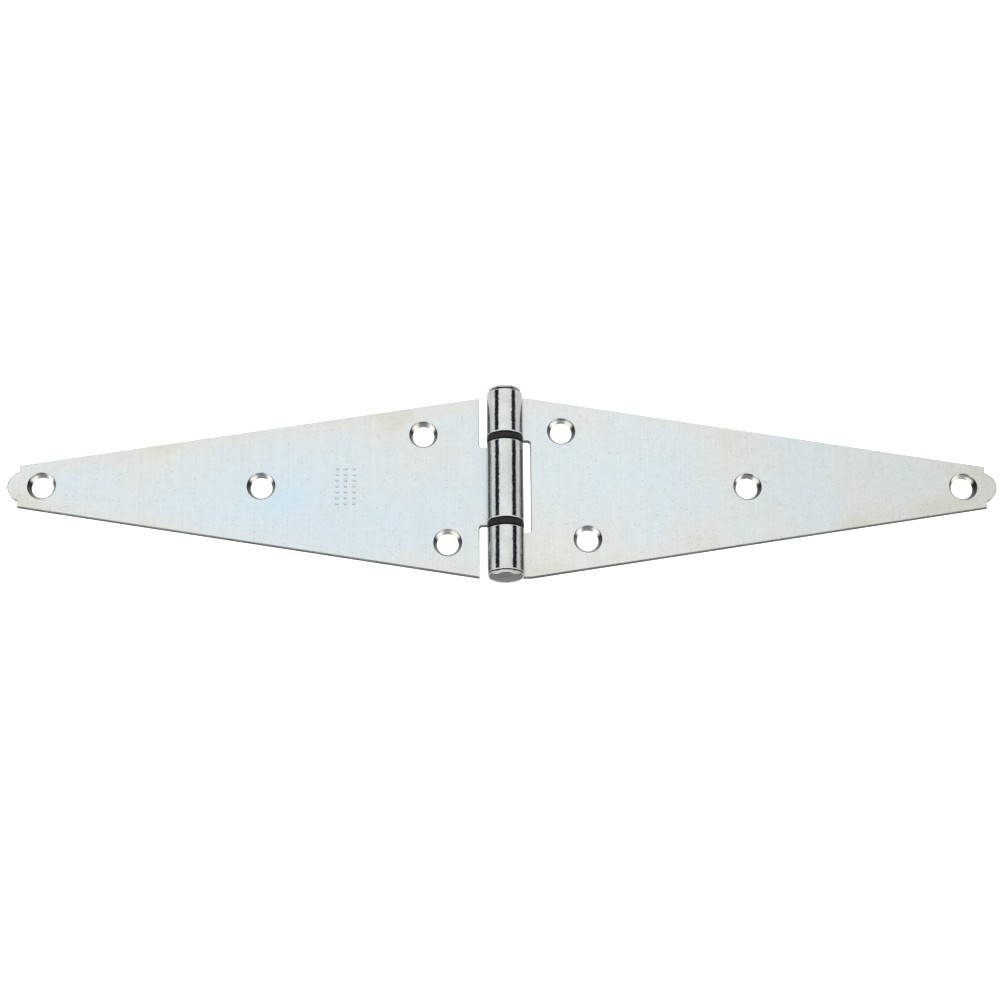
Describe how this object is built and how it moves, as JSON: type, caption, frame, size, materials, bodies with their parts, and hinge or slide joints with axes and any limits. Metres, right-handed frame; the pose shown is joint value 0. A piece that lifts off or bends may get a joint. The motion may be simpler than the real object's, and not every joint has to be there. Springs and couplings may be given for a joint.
{
  "type": "strap hinge",
  "caption": "Double strap hinge: tapered flat leaves with round noses and countersunk screw holes, knuckles rolled on a riveted pin, and dark washers between the knuckles.",
  "frame": {"origin": "in the plane of the leaves' backs, straight behind the middle of the pin", "axes": "+X along the strap of the leaf with two knuckles, +Y along the pin towards its riveted end, +Z out of the countersunk faces, towards the barrel's front"},
  "size_m": [0.3048, 0.0619, 0.0112],
  "materials": {
    "zinc_plated_steel": "zinc plated with a clear, faintly blue and cream chromate",
    "pin_zinc_plated_steel": "zinc plated, a little greyer than the leaves",
    "black_nylon": "satin"
  },
  "bodies": {
    "fixed_leaf": {"leaf_two_knuckles": "zinc_plated_steel", "pin": "pin_zinc_plated_steel"},
    "swinging_leaf": {"leaf_one_knuckle": "zinc_plated_steel"},
    "upper_washer": {"upper_washer": "black_nylon"},
    "lower_washer": {"lower_washer": "black_nylon"}
  },
  "joints": [
    {"name": "leaf_swing", "type": "hinge", "parent": "fixed_leaf", "child": "swinging_leaf", "pos_m": [0, 0, 0.0056], "axis": [0, 1, 0], "range_deg": [-108, 182]},
    {"name": "upper_washer_spin", "type": "hinge", "parent": "fixed_leaf", "child": "upper_washer", "pos_m": [0, 0.01385, 0.0056], "axis": [0, 1, 0], "continuous": true},
    {"name": "lower_washer_spin", "type": "hinge", "parent": "fixed_leaf", "child": "lower_washer", "pos_m": [0, -0.01385, 0.0056], "axis": [0, 1, 0], "continuous": true}
  ]
}
